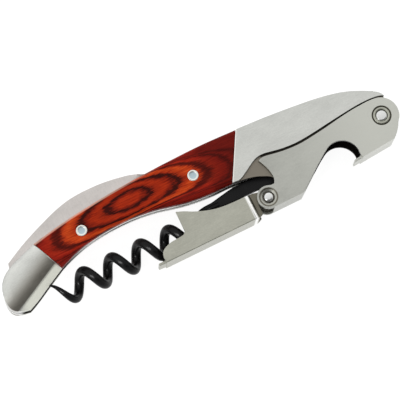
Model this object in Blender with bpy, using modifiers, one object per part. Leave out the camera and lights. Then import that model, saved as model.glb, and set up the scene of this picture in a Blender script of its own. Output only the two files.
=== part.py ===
"""Waiters corkscrew, folded and lying on its side.

Outlines are in millimetres with the lever pivot at (0, 0): X runs along the handle towards the head, Y
towards the spine, Z through the thickness with the middle of the tool at 0. The empty "tool_frame" moves
that frame so that the world origin is under the middle of the tool, on the surface it lies on.
"""

import math

import bmesh
import bpy

MM = 0.001

# Driving dimensions, mm
HALF_THICKNESS = 6.0      # middle of the tool to a flat outer face
FRAME_SHIFT = (56.5, -3.74, HALF_THICKNESS)

SLOT_HALF = 1.5           # between the liners
LINER_OUT = 2.75          # outer face of a liner
LINER_IN = 1.55
SCALE_IN = 2.8            # inner face of bolsters and scales
TONGUE_OUT = 4.4          # outer face of the tongue, inside the upper lever
LEVER_OUT = 5.85          # outer face of both levers
SHEET = 1.0               # lever sheet
JOGGLE = 1.1              # how far the lower lever's ears step in

LEVER_PIVOT = (0.0, 0.0)
MID_HINGE = (-39.05, -6.75)
WORM_PIVOT = (-31.0, -2.6)
KNIFE_PIVOT = (-109.3, 3.8)
HEAD_SCALE_PIN = (-55.4, 8.1)
TAIL_SCALE_PIN = (-90.3, 7.85)
MID_BOLSTER_PIN = (-22.5, 9.0)
HEAD_BOLSTER_PIN = (-7.0, 8.6)

SCALE_PIN_R = 1.65
BOLSTER_PIN_R = 1.1
WORM_PIN_R = 1.25
KNIFE_PIN_R = 1.4
BUSH_R = 2.45
BUSH_BORE_R = 1.75
PIVOT_RIVET_R = 1.68
HINGE_SHAFT_R = 1.2
HINGE_HEAD_R = 1.5
FIT = 0.07                # radial play between a pin and its hole
ROUND = 24                # sides of a round piece

WORM_AXIS_Y = -4.85
WORM_PITCH = 8.9
WORM_R = 3.05             # axis to the middle of the wire
WIRE_R = 1.4
WORM_TIP_X = -105.3
FIRST_TOP_X = -103.95     # top of the first turn, if the pitch ran on to the tip
OPEN_START_X = -97.0      # towards the tip of here the turns open up
SHANK_START_X = -63.9     # where the helix begins to straighten
SHANK_END_X = -52.0       # where the round wire ends inside the flat shank

C = "corner"

# Outlines shared by the handle's layers, head to tail along the spine and back along the belly
HEAD_SPINE = [(2.75, 5.7), (2.1, 6.4), (1.2, 7.05), (0.0, 7.75), (-2.0, 8.8), (-6.0, 10.5), (-10.0, 11.6), (-15.0, 12.5),
              (-20.0, 13.1), (-25.0, 13.6), (-31.0, 14.1)]
SEAM_HEAD = [(-38.8, 14.55), (-46.4, 1.3)]
WOOD_SPINE = [(-50.0, 14.95), (-62.5, 14.7), (-74.0, 14.25), (-84.6, 13.35), (-95.4, 12.0)]
SEAM_TAIL = [(-104.1, 10.4), (-99.8, 1.0)]
TAIL_END = [(-108.5, 9.05), (-112.8, 7.5), (-115.5, 5.7), (-117.2, 3.3), (-117.9, 0.8), (-118.0, -1.6),
            (-117.3, -3.7), (-115.4, -4.95), (-112.8, -5.6, C), (-110.5, -4.6)]
WOOD_BELLY = [(-94.0, 3.1), (-88.5, 4.3), (-81.0, 4.95), (-75.0, 4.85), (-69.0, 4.1), (-64.0, 2.95),
              (-59.0, 1.95), (-53.0, 1.4)]
TONGUE_EDGE = [(-43.8, 1.0), (-41.8, 0.7), (-39.8, 0.2), (-37.8, -0.6), (-35.8, -1.7)]
TONGUE_TOP = [(-25.5, 0.2), (-20.0, 0.9), (-13.0, 0.7), (-8.5, -0.7)]
STEP_EDGE = [(-43.9, 1.25), (-42.0, 2.15), (-40.0, 3.3), (-38.5, 4.15), (-36.8, 4.75), (-35.0, 4.85),
             (-33.0, 4.5), (-30.0, 3.95), (-27.0, 3.65), (-24.0, 3.62), (-20.0, 3.95), (-15.0, 4.55),
             (-10.0, 5.15), (-5.0, 5.7), (-2.0, 5.85), (0.0, 5.78), (1.6, 5.5), (2.6, 5.08), (3.6, 4.4)]


def arc(centre, radius, start, end, count):
    """Points on an arc, angles in degrees."""
    turn = (end - start) / (count - 1)
    angles = [math.radians(start + turn * i) for i in range(count)]
    return [(centre[0] + radius * math.cos(a), centre[1] + radius * math.sin(a)) for a in angles]


def corner(point):
    return (point[0], point[1], C)


def ring(centre, radius):
    return ("ring", centre, radius)


def handle_outline():
    return ([(3.15, 4.95, C)] + HEAD_SPINE + [SEAM_HEAD[0]] + WOOD_SPINE + [SEAM_TAIL[0]] + TAIL_END
            + [SEAM_TAIL[1]] + WOOD_BELLY + [SEAM_HEAD[1]] + tongue_outline())


def tongue_outline():
    """From the belly round the worm pivot's ear and the lever pivot's eye to the tip."""
    return (TONGUE_EDGE + arc(WORM_PIVOT, 3.5, 190, 335, 7) + TONGUE_TOP
            + arc(LEVER_PIVOT, 4.6, 220, 405, 9) + [(3.1, 4.3, C)])


# ---------------------------------------------------------------- scene helpers

def clear_scene():
    for item in list(bpy.data.objects):
        bpy.data.objects.remove(item, do_unlink=True)


def new_collection(name):
    collection = bpy.data.collections.new(name)
    bpy.context.scene.collection.children.link(collection)
    return collection


def make_material(name, colour, roughness, metallic):
    material = bpy.data.materials.new(name)
    material.use_nodes = True
    shader = material.node_tree.nodes["Principled BSDF"]
    shader.inputs["Base Color"].default_value = (*colour, 1.0)
    shader.inputs["Roughness"].default_value = roughness
    shader.inputs["Metallic"].default_value = metallic
    return material


def place(name, mesh, origin, z, collection, material=None):
    """Put a mesh at its place in the tool's frame. A piece without a material is a cutter."""
    thing = bpy.data.objects.new(name, mesh)
    collection.objects.link(thing)
    thing.parent = tool_frame
    thing.location = (origin[0] * MM, origin[1] * MM, z * MM)
    if material:
        mesh.materials.clear()
        mesh.materials.append(material)
        mesh.shade_smooth()
        mesh.set_sharp_from_angle(angle=math.radians(35))
    else:
        thing.hide_render = True
        thing.display_type = "WIRE"
    return thing


def add_outline(curve, points, origin):
    """A closed Bezier outline: smooth points, with straight runs into the points marked as corners."""
    spline = curve.splines.new("BEZIER")
    spline.bezier_points.add(len(points) - 1)
    spline.use_cyclic_u = True
    for bezier, point in zip(spline.bezier_points, points):
        bezier.co = ((point[0] - origin[0]) * MM, (point[1] - origin[1]) * MM, 0.0)
        kind = "VECTOR" if len(point) == 3 else "AUTO"
        bezier.handle_left_type = kind
        bezier.handle_right_type = kind


def add_ring(curve, centre, radius, origin):
    spline = curve.splines.new("POLY")
    spline.points.add(ROUND - 1)
    spline.use_cyclic_u = True
    for i, point in enumerate(spline.points):
        angle = 2 * math.pi * i / ROUND
        x = centre[0] - origin[0] + radius * math.cos(angle)
        y = centre[1] - origin[1] + radius * math.sin(angle)
        point.co = (x * MM, y * MM, 0.0, 1.0)


def flat_mesh(name, outlines, thickness, origin, fineness=2):
    """The closed mesh of a flat outline with its holes, centred on z = 0."""
    curve = bpy.data.curves.new(name, "CURVE")
    curve.dimensions = "2D"
    curve.fill_mode = "BOTH"
    curve.extrude = thickness / 2 * MM
    curve.resolution_u = fineness
    for outline in outlines:
        if outline[0] == "ring":
            add_ring(curve, outline[1], outline[2], origin)
        else:
            add_outline(curve, outline, origin)
    holder = bpy.data.objects.new(name + "_curve", curve)
    bpy.context.scene.collection.objects.link(holder)
    graph = bpy.context.evaluated_depsgraph_get()
    mesh = bpy.data.meshes.new_from_object(holder.evaluated_get(graph))
    bpy.data.objects.remove(holder, do_unlink=True)
    mesh.name = name
    work = bmesh.new()
    work.from_mesh(mesh)
    bmesh.ops.remove_doubles(work, verts=work.verts, dist=1e-6)
    if len(outlines) == 1:
        bmesh.ops.dissolve_limit(work, angle_limit=math.radians(0.5), verts=work.verts, edges=work.edges)
    bmesh.ops.recalc_face_normals(work, faces=work.faces)
    work.to_mesh(mesh)
    work.free()
    return mesh


def plate(name, outlines, low, high, material=None, origin=(0.0, 0.0), fineness=2):
    """A flat piece or cutter from z = low to z = high."""
    mesh = flat_mesh(name, outlines, high - low, origin, fineness)
    collection = part_collection if material else cutter_collection
    return place(name, mesh, origin, (low + high) / 2, collection, material)


def round_rim(thing, side, width, steps, chosen):
    """Round the rim edges on the face that looks along side * Z, where chosen(x, y) says so."""
    work = bmesh.new()
    work.from_mesh(thing.data)
    top = max(vert.co.z * side for vert in work.verts)
    rim = []
    for edge in work.edges:
        flat = all(abs(vert.co.z * side - top) < 1e-6 for vert in edge.verts)
        middle = (edge.verts[0].co + edge.verts[1].co) / 2 + thing.location
        if flat and chosen(middle.x / MM, middle.y / MM):
            rim.append(edge)
    bmesh.ops.bevel(work, geom=rim, offset=width * MM, segments=steps, profile=0.5, affect="EDGES",
                    clamp_overlap=True)
    bmesh.ops.recalc_face_normals(work, faces=work.faces)
    work.to_mesh(thing.data)
    work.free()
    thing.data.shade_smooth()
    thing.data.set_sharp_from_angle(angle=math.radians(35))


def cut(thing, cutter, operation="DIFFERENCE"):
    modifier = thing.modifiers.new(operation.title(), "BOOLEAN")
    modifier.operation = operation
    modifier.solver = "EXACT"
    modifier.object = cutter


def turned(name, profile, centre, material):
    """A turned piece: (radius, z) profile down its outer side, and up its bore if it has one."""
    mesh = bpy.data.meshes.new(name)
    closed = profile[0][0] > 0
    edges = [(i, i + 1) for i in range(len(profile) - 1)]
    if closed:
        edges.append((len(profile) - 1, 0))
    mesh.from_pydata([(r * MM, 0.0, z * MM) for r, z in profile], edges, [])
    piece = place(name, mesh, centre, 0.0, part_collection, material)
    screw = piece.modifiers.new("Turn", "SCREW")
    screw.angle = 2 * math.pi
    screw.steps = ROUND
    screw.render_steps = ROUND
    screw.use_merge_vertices = True
    screw.merge_threshold = 1e-6
    screw.use_smooth_shade = False
    return piece


def pin(name, centre, radius, half_length, material, chamfer=0.2):
    profile = [(0.0, half_length), (radius - chamfer, half_length), (radius, half_length - chamfer),
               (radius, chamfer - half_length), (radius - chamfer, -half_length), (0.0, -half_length)]
    return turned(name, profile, centre, material)


def tube(name, centre, outer, bore, low, high, material):
    profile = [(outer, high), (outer, low), (bore, low), (bore, high)]
    return turned(name, profile, centre, material)


# ---------------------------------------------------------------- the handle

def both_sides(inner, outer):
    """Yields (name, side, low, high) for the front and the rear copy of a handle piece."""
    yield "front", 1, inner, outer
    yield "rear", -1, -outer, -inner


def make_liners():
    holes = [ring(LEVER_PIVOT, BUSH_R + FIT), ring(WORM_PIVOT, WORM_PIN_R + FIT),
             ring(KNIFE_PIVOT, KNIFE_PIN_R + FIT), ring(HEAD_SCALE_PIN, SCALE_PIN_R + FIT),
             ring(TAIL_SCALE_PIN, SCALE_PIN_R + FIT), ring(MID_BOLSTER_PIN, BOLSTER_PIN_R + FIT),
             ring(HEAD_BOLSTER_PIN, BOLSTER_PIN_R + FIT)]
    for name, _, low, high in both_sides(LINER_IN, LINER_OUT):
        plate(name + "_liner", [handle_outline()] + holes, low, high, liner_steel)


def make_head_bolsters():
    outline = ([(3.15, 4.95, C)] + HEAD_SPINE + [corner(SEAM_HEAD[0]), corner(SEAM_HEAD[1])]
               + tongue_outline())
    recess = [(-47.5, 0.9, C)] + STEP_EDGE + [(9.0, 4.0, C), (9.0, -12.0, C), (-47.5, -12.0, C)]
    holes = [ring(LEVER_PIVOT, BUSH_R + FIT), ring(WORM_PIVOT, WORM_PIN_R + FIT),
             ring(MID_BOLSTER_PIN, BOLSTER_PIN_R + FIT), ring(HEAD_BOLSTER_PIN, BOLSTER_PIN_R + FIT)]
    for name, side, low, high in both_sides(SCALE_IN, HALF_THICKNESS):
        bolster = plate(name + "_head_bolster", [outline], low, high, satin_steel)
        round_rim(bolster, side, 0.8, 2, lambda x, y: y > 7.3 + 0.06 * abs(x) and x > -38.5)
        depth = sorted((side * (SCALE_IN - 1), side * (TONGUE_OUT + 0.4)))
        cut(bolster, plate(name + "_bolster_holes", holes, *depth))
        step = sorted((side * TONGUE_OUT, side * (HALF_THICKNESS + 1)))
        cut(bolster, plate(name + "_step_cutter", [recess], *step))


def make_scales():
    """The wood, with small gaps to the bolsters at its slanted ends."""
    gap = 0.1
    outline = ([(SEAM_HEAD[0][0] - gap, SEAM_HEAD[0][1], C)] + WOOD_SPINE
               + [(SEAM_TAIL[0][0] + gap, SEAM_TAIL[0][1], C), (SEAM_TAIL[1][0] + gap, SEAM_TAIL[1][1], C)]
               + WOOD_BELLY + [(SEAM_HEAD[1][0] - gap, SEAM_HEAD[1][1], C)])
    for name, side, low, high in both_sides(SCALE_IN, HALF_THICKNESS):
        scale = plate(name + "_wood_scale", [outline], low, high, wood)
        round_rim(scale, side, 0.9, 2, along_grip)
        holes = [ring(HEAD_SCALE_PIN, SCALE_PIN_R + FIT), ring(TAIL_SCALE_PIN, SCALE_PIN_R + FIT)]
        cut(scale, plate(name + "_scale_holes", holes, low - 1, high + 1))


def along_grip(x, y):
    """True on the wood's long edges and false on its two slanted ends."""
    on_head_seam = abs((x + 46.5) - (y - 1.3) * 7.6 / 13.25) < 0.35
    on_tail_seam = abs((x + 99.7) + (y - 1.0) * 4.3 / 9.4) < 0.35
    return not (on_head_seam or on_tail_seam)


def make_tail_bolsters():
    outline = ([corner(SEAM_TAIL[0])] + TAIL_END + [(-104.6, -1.5), corner(SEAM_TAIL[1])])
    for name, side, low, high in both_sides(SCALE_IN, HALF_THICKNESS - 0.1):
        bolster = plate(name + "_tail_bolster", [outline], low, high, satin_steel)
        round_rim(bolster, side, 1.9, 3, lambda x, y: abs((x + 99.8) + (y - 1.0) * 4.3 / 9.4) > 0.35)
        hole = [ring(KNIFE_PIVOT, KNIFE_PIN_R + FIT)]
        depth = sorted((side * (SCALE_IN - 1), side * 4.1))
        cut(bolster, plate(name + "_knife_pin_cutter", hole, *depth))


def make_inner_pieces():
    """The layer between the liners, apart from the worm and the knife."""
    spacer = [(1.6, 5.9, C), (0.0, 7.4), (-6.0, 10.1), (-15.0, 12.1), (-27.0, 13.3, C), (-27.0, 0.9, C),
              (-20.0, 1.2), (-13.0, 1.0), (-8.5, -0.4)] + arc(LEVER_PIVOT, 4.4, 220, 410, 9) + [(2.0, 4.8, C)]
    plate("head_spacer", [spacer, ring(LEVER_PIVOT, BUSH_R + FIT), ring(MID_BOLSTER_PIN, BOLSTER_PIN_R + FIT),
                          ring(HEAD_BOLSTER_PIN, BOLSTER_PIN_R + FIT)], -SLOT_HALF, SLOT_HALF, spring_steel)
    spring = [(-27.5, 13.4, C), (-38.8, 14.2), (-50.0, 14.6), (-60.0, 14.4), (-65.5, 13.9, C), (-66.5, 10.0),
              (-69.5, 7.6), (-80.0, 6.7), (-90.3, 5.9), (-98.0, 4.0), (-102.6, 2.3), (-103.2, 0.4, C),
              (-99.7, 1.7), (-94.0, 3.6), (-88.5, 4.7), (-81.0, 5.3), (-75.0, 5.2), (-69.0, 4.5),
              (-64.0, 3.3), (-59.0, 2.3), (-50.0, 1.8), (-40.0, 2.0), (-34.0, 1.3), (-28.2, 1.2, C),
              (-28.2, 2.9, C), (-34.0, 3.2), (-42.0, 4.6, C), (-42.0, 5.6, C), (-27.5, 5.6, C)]
    plate("back_spring", [spring, ring(HEAD_SCALE_PIN, SCALE_PIN_R + FIT)], -SLOT_HALF + 0.05,
          SLOT_HALF - 0.05, spring_steel)


def make_handle_pins():
    pin("scale_pin_head", HEAD_SCALE_PIN, SCALE_PIN_R, HALF_THICKNESS - 0.05, bright_steel, 0.12)
    pin("scale_pin_tail", TAIL_SCALE_PIN, SCALE_PIN_R, HALF_THICKNESS - 0.05, bright_steel, 0.12)
    pin("bolster_pin_head", HEAD_BOLSTER_PIN, BOLSTER_PIN_R, TONGUE_OUT, bright_steel)
    pin("bolster_pin_mid", MID_BOLSTER_PIN, BOLSTER_PIN_R, TONGUE_OUT, bright_steel)
    pin("worm_pivot_pin", WORM_PIVOT, WORM_PIN_R, TONGUE_OUT, bright_steel)
    pin("knife_pivot_pin", KNIFE_PIVOT, KNIFE_PIN_R, 3.9, bright_steel)
    tube("lever_pivot_bush", LEVER_PIVOT, BUSH_R, BUSH_BORE_R, -LEVER_OUT, LEVER_OUT, bright_steel)
    pin("lever_pivot_rivet", LEVER_PIVOT, PIVOT_RIVET_R, LEVER_OUT - 0.25, bright_steel, 0.3)
    for name, _, low, high in both_sides(TONGUE_OUT + 0.04, LEVER_OUT - SHEET - 0.04):
        tube(name + "_lever_washer", LEVER_PIVOT, 4.2, BUSH_R + FIT, low, high, liner_steel)
    for name, _, low, high in both_sides(1.05, SLOT_HALF):
        tube(name + "_knife_washer", KNIFE_PIVOT, 3.2, KNIFE_PIN_R + FIT, low, high, liner_steel)


# ---------------------------------------------------------------- the levers

def make_upper_lever():
    lobe = arc(MID_HINGE, 3.3, 262, 98, 8)
    notch = arc((-15.5, -6.3), 5.25, -10, 128, 8)
    round_end = arc((-0.15, 0.05), 5.2, 84, -44, 8)
    outline = ([(-37.0, 3.75, C), (-35.8, 4.15), (-34.0, 4.0), (-31.0, 3.45), (-27.5, 3.05), (-24.0, 2.98),
                (-20.0, 3.35), (-15.0, 4.0), (-10.0, 4.75), (-5.0, 5.25)] + round_end
               + [(2.75, -4.9), (1.7, -6.2), (0.3, -7.5, C), (-10.05, -8.3, C)] + notch
               + [(-20.9, -3.6), (-29.6, -10.0, C), (-38.9, -10.0, C)] + lobe
               + [(-38.2, -3.55), (-36.9, -3.95), (-35.95, -4.0, C), (-35.45, -3.0), (-35.3, -1.6),
                  (-35.6, 0.2), (-36.15, 1.9)])
    lever = plate("upper_lever", [outline], -LEVER_OUT, LEVER_OUT, lever_steel, LEVER_PIVOT)
    for side in (1, -1):
        round_rim(lever, side, 0.8, 2, lambda x, y: y < -9.95 or (y < -7.55 and x > -9.9))
    inside = [(-50.0, 12.0, C), (-50.0, -14.0, C), (-38.7, -14.0, C), (-38.7, -9.0, C), (-27.5, -9.0, C),
              (-27.5, -14.0, C), (-12.0, -14.0, C), (-12.0, -7.45, C), (8.0, -5.98, C), (8.0, 12.0, C)]
    inner = LEVER_OUT - SHEET
    cut(lever, plate("upper_lever_inside", [inside], -inner, inner))
    tooth = [(-12.4, -8.42, C), (-9.3, -8.18, C), (-9.3, -7.35, C), (-12.3, -7.75, C)]
    cut(lever, plate("opener_tooth", [tooth], -3.9, 3.9), "UNION")
    cut(lever, plate("pivot_hole", [ring(LEVER_PIVOT, BUSH_R + FIT + 0.04)], -8, 8))
    cut(lever, plate("hinge_hole", [ring(MID_HINGE, HINGE_SHAFT_R + FIT)], -8, 8))
    for name, _, low, high in both_sides(LEVER_OUT - 0.5, LEVER_OUT + 1):
        cut(lever, plate(name + "_head_seat", [ring(MID_HINGE, HINGE_HEAD_R + FIT)], low, high))


def make_hinge():
    seat = LEVER_OUT - 0.45
    end = LEVER_OUT + 0.1
    profile = [(0.0, end), (HINGE_HEAD_R - 0.25, end), (HINGE_HEAD_R, end - 0.2), (HINGE_HEAD_R, seat),
               (HINGE_SHAFT_R, seat), (HINGE_SHAFT_R, -seat), (HINGE_HEAD_R, -seat),
               (HINGE_HEAD_R, 0.2 - end), (HINGE_HEAD_R - 0.25, -end), (0.0, -end)]
    turned("hinge_rivet", profile, MID_HINGE, bright_steel)
    half = LEVER_OUT - SHEET - JOGGLE - 0.08
    tube("hinge_spacer", MID_HINGE, 1.9, HINGE_SHAFT_R + FIT, -half, half, liner_steel)


def make_lower_lever():
    """A channel whose sides step in beyond the joggle, to form the two ears round the hinge."""
    boss = arc(MID_HINGE, 2.15, 95, -170, 9)
    outline = ([(-64.4, 1.0, C), (-62.0, 0.0), (-60.0, -1.05), (-57.5, -2.1), (-55.0, -2.9), (-52.5, -3.4),
                (-49.5, -3.65), (-46.0, -3.75), (-42.6, -3.75, C)] + boss
               + [(-42.45, -7.2, C), (-42.5, -10.3, C), (-43.7, -10.85, C), (-72.9, -10.85, C),
                  (-72.85, -8.3), (-71.8, -7.05), (-65.3, -5.8, C), (-64.5, -5.1, C)])
    lever = plate("lower_lever", [outline], -LEVER_OUT, LEVER_OUT, lever_steel, MID_HINGE)
    for side in (1, -1):
        round_rim(lever, side, 0.8, 2, lambda x, y: y < -10.8)
    ear_out = LEVER_OUT - JOGGLE
    for name, side in (("front", 1), ("rear", -1)):
        shave = [(-44.9, side * LEVER_OUT, C), (-43.2, side * ear_out, C), (-30.0, side * ear_out, C),
                 (-30.0, side * 8, C), (-44.9, side * 8, C)]
        cut(lever, side_cutter(name + "_joggle_shave", shave, -16.0, 6.0))
    inner = LEVER_OUT - SHEET
    ear_in = ear_out - SHEET
    inside = [(-80.0, -inner, C), (-45.3, -inner, C), (-43.6, -ear_in, C), (-30.0, -ear_in, C),
              (-30.0, ear_in, C), (-43.6, ear_in, C), (-45.3, inner, C), (-80.0, inner, C)]
    cut(lever, side_cutter("lower_lever_inside", inside, -9.85, 6.0))
    gap_under_ears = [(-43.7, -14.0, C), (-30.0, -14.0, C), (-30.0, -9.0, C), (-43.7, -9.0, C)]
    cut(lever, plate("between_ears", [gap_under_ears], 0.02 - ear_in, ear_in - 0.02))
    lip = [(-75.0, -10.6, C), (-72.0, -10.7, C), (-72.0, -9.9, C), (-75.0, -9.85, C)]
    cut(lever, plate("boot_lip", [lip], -3.9, 3.9), "UNION")
    cut(lever, plate("ear_hole", [ring(MID_HINGE, HINGE_SHAFT_R + FIT)], -8, 8))


def side_cutter(name, outline, low, high):
    """A cutter whose outline is in X and Z, running from y = low to y = high."""
    mesh = flat_mesh(name, [outline], high - low, (0.0, 0.0), 1)
    cutter = place(name, mesh, (0.0, (low + high) / 2), 0.0, cutter_collection)
    cutter.rotation_euler = (math.radians(90), 0.0, 0.0)
    return cutter


# ---------------------------------------------------------------- worm and knife

def worm_point(x):
    """Centre and radius of the wire at station x: a right-handed helix that runs out into the shank."""
    turn = 2 * math.pi / WORM_PITCH
    if x < SHANK_START_X:
        angle = turn * (x + 0.16 * max(OPEN_START_X - x, 0.0) - FIRST_TOP_X)
    else:
        left = SHANK_END_X - 2.0 - SHANK_START_X
        part = min((x - SHANK_START_X) / left, 1.0)
        angle = turn * (SHANK_START_X - FIRST_TOP_X) + math.pi * (2 * part - part * part)
    into_worm = min((x - WORM_TIP_X) / (0.9 * WORM_PITCH), 1.0)
    radius = 0.25 + (WIRE_R - 0.25) * math.sin(into_worm * math.pi / 2)
    reach = WORM_R + 0.25 * (1 - into_worm)
    y = WORM_AXIS_Y + reach * math.cos(angle)
    return (x, y, reach * math.sin(angle)), radius


def make_worm():
    steps = 76
    curve = bpy.data.curves.new("worm", "CURVE")
    curve.dimensions = "3D"
    curve.bevel_depth = WIRE_R * MM
    curve.bevel_resolution = 2
    curve.use_fill_caps = True
    spline = curve.splines.new("POLY")
    spline.points.add(steps)
    for i, point in enumerate(spline.points):
        (x, y, z), radius = worm_point(WORM_TIP_X + (SHANK_END_X - WORM_TIP_X) * i / steps)
        point.co = ((x - WORM_PIVOT[0]) * MM, (y - WORM_PIVOT[1]) * MM, z * MM, 1.0)
        point.radius = radius / WIRE_R
    holder = bpy.data.objects.new("worm_curve", curve)
    bpy.context.scene.collection.objects.link(holder)
    graph = bpy.context.evaluated_depsgraph_get()
    mesh = bpy.data.meshes.new_from_object(holder.evaluated_get(graph))
    bpy.data.objects.remove(holder, do_unlink=True)
    work = bmesh.new()
    work.from_mesh(mesh)
    bmesh.ops.remove_doubles(work, verts=work.verts, dist=1e-6)
    bmesh.ops.recalc_face_normals(work, faces=work.faces)
    work.to_mesh(mesh)
    work.free()
    worm = place("worm", mesh, WORM_PIVOT, 0.0, part_collection, worm_black)
    shank = ([(-54.6, -0.6, C), (-50.0, 0.2), (-46.5, 0.65), (-42.0, 0.55), (-38.5, 0.0), (-35.6, -0.35)]
             + arc(WORM_PIVOT, 3.0, 105, -100, 9)
             + [(-35.0, -4.1), (-39.0, -3.1), (-43.0, -2.95), (-48.0, -3.0), (-54.6, -2.5, C)])
    cut(worm, plate("flat_shank", [shank], -1.22, 1.22), "UNION")
    cut(worm, plate("worm_eye_hole", [ring(WORM_PIVOT, WORM_PIN_R + FIT)], -8, 8))


def make_knife():
    outline = [(-112.6, 9.2, C), (-113.3, 6.2), (-113.3, 3.0), (-111.8, 0.6), (-109.3, -0.3), (-106.5, 0.7),
               (-104.9, 3.6, C), (-103.2, 5.2), (-98.0, 8.6), (-92.0, 10.2), (-86.0, 10.9), (-80.0, 11.7),
               (-74.0, 12.9), (-69.5, 14.3), (-66.6, 15.1, C), (-70.4, 16.6), (-74.5, 17.5), (-78.2, 18.05),
               (-82.0, 18.3), (-88.0, 18.15), (-92.3, 17.4), (-99.5, 15.05), (-106.9, 12.05)]
    plate("knife_blade", [outline, ring(KNIFE_PIVOT, KNIFE_PIN_R + FIT)], -1.0, 1.0, blade_steel,
          KNIFE_PIVOT)


clear_scene()
part_collection = new_collection("waiters_corkscrew")
cutter_collection = new_collection("cutters")
tool_frame = bpy.data.objects.new("tool_frame", None)
tool_frame.location = [value * MM for value in FRAME_SHIFT]
part_collection.objects.link(tool_frame)

satin_steel = make_material("satin_steel", (0.62, 0.62, 0.60), 0.35, 1.0)
lever_steel = make_material("lever_steel", (0.58, 0.58, 0.55), 0.38, 1.0)
liner_steel = make_material("liner_steel", (0.50, 0.49, 0.46), 0.42, 1.0)
spring_steel = make_material("spring_steel", (0.45, 0.45, 0.44), 0.40, 1.0)
bright_steel = make_material("bright_steel", (0.75, 0.75, 0.75), 0.22, 1.0)
blade_steel = make_material("blade_steel", (0.60, 0.60, 0.59), 0.30, 1.0)
worm_black = make_material("worm_black", (0.012, 0.012, 0.013), 0.30, 0.0)
wood = make_material("wood", (0.30, 0.035, 0.012), 0.38, 0.0)

make_liners()
make_head_bolsters()
make_scales()
make_tail_bolsters()
make_inner_pieces()
make_handle_pins()
make_upper_lever()
make_hinge()
make_lower_lever()
make_worm()
make_knife()
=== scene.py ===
"""Looks of the waiters corkscrew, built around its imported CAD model.

Outlines are in millimetres in the tool's own plane, with the lever pivot at (0, 0), X towards the head,
Y towards the spine and Z through the thickness from the middle of the tool. FRAME_SHIFT moves them into
the row frame, whose origin is under the middle of the tool on the surface it lies on.
"""

import math
from contextlib import contextmanager

import bmesh
import bpy
from mathutils import Matrix, Vector


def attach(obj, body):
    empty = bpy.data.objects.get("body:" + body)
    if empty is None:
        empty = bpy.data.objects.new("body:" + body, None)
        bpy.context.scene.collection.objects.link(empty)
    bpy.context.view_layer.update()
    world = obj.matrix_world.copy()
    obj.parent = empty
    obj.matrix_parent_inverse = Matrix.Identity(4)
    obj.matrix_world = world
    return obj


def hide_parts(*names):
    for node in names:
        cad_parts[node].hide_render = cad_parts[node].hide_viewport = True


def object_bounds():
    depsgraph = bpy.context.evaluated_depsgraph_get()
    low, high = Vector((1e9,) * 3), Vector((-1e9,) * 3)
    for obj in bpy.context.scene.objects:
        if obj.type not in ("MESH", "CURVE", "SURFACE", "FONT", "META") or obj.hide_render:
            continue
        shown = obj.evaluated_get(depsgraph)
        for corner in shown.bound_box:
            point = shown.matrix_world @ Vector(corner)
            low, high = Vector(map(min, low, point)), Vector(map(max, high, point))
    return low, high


MM = 0.001
FRAME_SHIFT = (56.5, -3.74, 6.0)

# Layers, mm from the middle of the tool
HALF_THICKNESS = 6.0
SLOT_HALF = 1.5
LINER_IN = 1.55
LINER_OUT = 2.75
SCALE_IN = 2.8
TONGUE_OUT = 4.4
LEVER_OUT = 5.85
BLADE_HALF = 1.0

# The levers' sheet, and how far the lower lever's ears step in
SHEET = 1.0
JOGGLE = 1.1

# Pivots, pins and the bottle opener
NOTCH_CENTRE = (-15.5, -6.3)
NOTCH_R = 5.25
LEVER_PIVOT = (0.0, 0.0)
MID_HINGE = (-39.05, -6.75)
WORM_PIVOT = (-31.0, -2.6)
KNIFE_PIVOT = (-109.3, 3.8)
HEAD_SCALE_PIN = (-55.4, 8.1)
TAIL_SCALE_PIN = (-90.3, 7.85)
SCALE_PIN_R = 1.58
WORM_PIN_R = 1.25
KNIFE_PIN_R = 1.4
BUSH_R = 2.45
BUSH_BORE_R = 1.75
HINGE_HEAD_R = 1.5
HINGE_SHAFT_R = 1.2
FIT = 0.07    # radial play between a pin and its hole
ROUND = 64    # sides of a round hole or a turned piece

# Worm
WORM_AXIS_Y = -4.85
WORM_PITCH = 8.9
WORM_R = 3.05
WIRE_R = 1.4
WORM_TIP_X = -105.3
FIRST_TOP_X = -103.95
OPEN_START_X = -97.0
SHANK_START_X = -63.9
SHANK_END_X = -52.0

# The eye of the wood's rings
WOOD_EYE = (-74.8, 9.8)

# The dark flag over the belly side: where it begins and is full, as sines, and how dark it is
FLAG_NEAR = 0.14
FLAG_FULL = 0.30
FLAG_DEPTH = 0.95

C = "corner"    # marks a sharp corner of an outline, whose other points are smooth

# Outlines and edges, point by point
HEAD_SPINE = [(2.75, 5.7), (2.1, 6.4), (1.2, 7.05), (0.0, 7.75), (-2.0, 8.8), (-6.0, 10.5), (-10.0, 11.6),
              (-15.0, 12.5), (-20.0, 13.1), (-25.0, 13.6), (-31.0, 14.1)]
SEAM_HEAD = [(-38.8, 14.55), (-46.4, 1.3)]
WOOD_SPINE = [(-50.0, 14.95), (-62.5, 14.7), (-74.0, 14.25), (-84.6, 13.35), (-95.4, 12.0)]
SEAM_TAIL = [(-104.1, 10.4), (-99.8, 1.0)]
TAIL_END = [(-108.5, 9.05), (-112.8, 7.5), (-115.5, 5.7), (-117.2, 3.3), (-117.9, 0.8), (-118.0, -1.6),
            (-117.3, -3.7), (-115.4, -4.95), (-112.8, -5.6, C), (-110.5, -4.6)]
WOOD_BELLY = [(-94.0, 3.1), (-88.5, 4.3), (-81.0, 4.95), (-75.0, 4.85), (-69.0, 4.1), (-64.0, 2.95),
              (-59.0, 1.95), (-53.0, 1.4)]
TONGUE_EDGE = [(-43.8, 1.0), (-41.8, 0.7), (-39.8, 0.2), (-37.8, -0.6), (-35.8, -1.7)]
TONGUE_TOP = [(-25.5, 0.2), (-20.0, 0.9), (-13.0, 0.7), (-8.5, -0.7)]
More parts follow.
